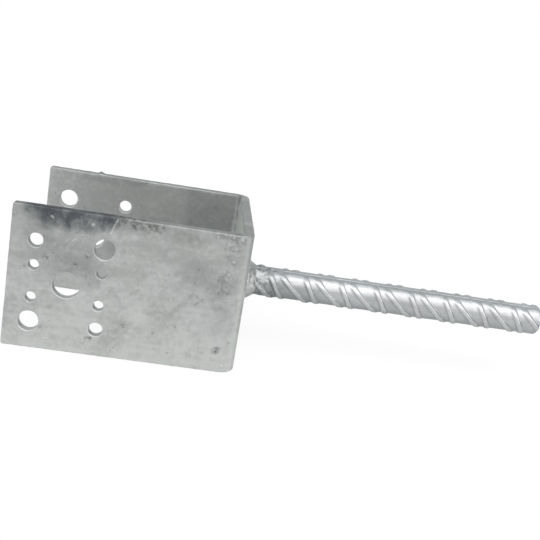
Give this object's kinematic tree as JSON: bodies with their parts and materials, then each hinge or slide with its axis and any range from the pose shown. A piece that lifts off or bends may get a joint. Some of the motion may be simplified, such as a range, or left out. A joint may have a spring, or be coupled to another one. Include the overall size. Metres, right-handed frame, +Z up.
{
  "type": "timber post base",
  "caption": "Post base of flat steel bent into a U with punched wings, and a ribbed bar welded square to its underside for casting into concrete, hot-dip galvanised.",
  "frame": {"origin": "where the ribbed bar's axis meets the underside of the U-shaped base", "axes": "+X along the bar towards its free end; -Y and +Y to the two wings; +Z up across the flat bar's width, because the part lies on its side at rest"},
  "size_m": [0.279, 0.101, 0.07],
  "materials": {
    "galvanised_plate": "hot-dip galvanised, satin grey with spangle, stains and light scratches",
    "galvanised_bar": "hot-dip galvanised, bright silver",
    "galvanised_weld": "hot-dip galvanised over a rough weld bead"
  },
  "bodies": {
    "root": {"saddle": "galvanised_plate", "anchor_rod": "galvanised_bar", "weld_fillet": "galvanised_weld"}
  },
  "joints": []
}
